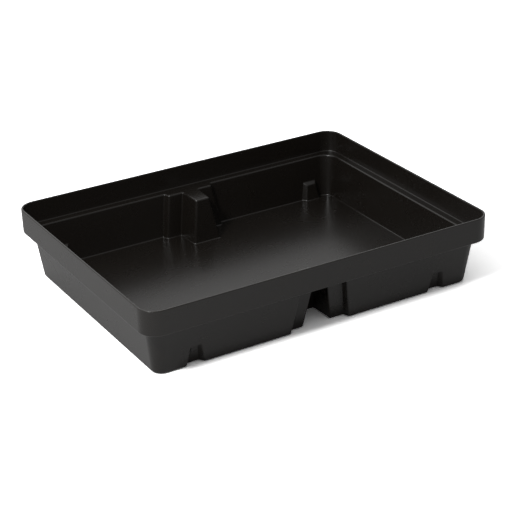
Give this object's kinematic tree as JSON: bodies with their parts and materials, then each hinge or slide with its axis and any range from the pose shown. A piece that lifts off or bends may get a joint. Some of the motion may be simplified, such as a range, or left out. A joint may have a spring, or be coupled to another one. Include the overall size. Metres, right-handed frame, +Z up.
{
  "type": "spill containment tray",
  "caption": "Shallow rectangular black polyethylene sump with an upright collar, a stepped ledge and wall recesses that show inside as blocks; catches leaks and spills.",
  "frame": {"origin": "middle of the underside, on the plane that the tray rests on", "axes": "+X along the long side, +Y along the short side towards the back wall, +Z up out of the tray's mouth"},
  "size_m": [0.8, 0.6, 0.155],
  "materials": {
    "black_polyethylene": "satin, with a very fine moulded grain"
  },
  "bodies": {
    "root": {"spill_tray": "black_polyethylene"}
  },
  "joints": []
}
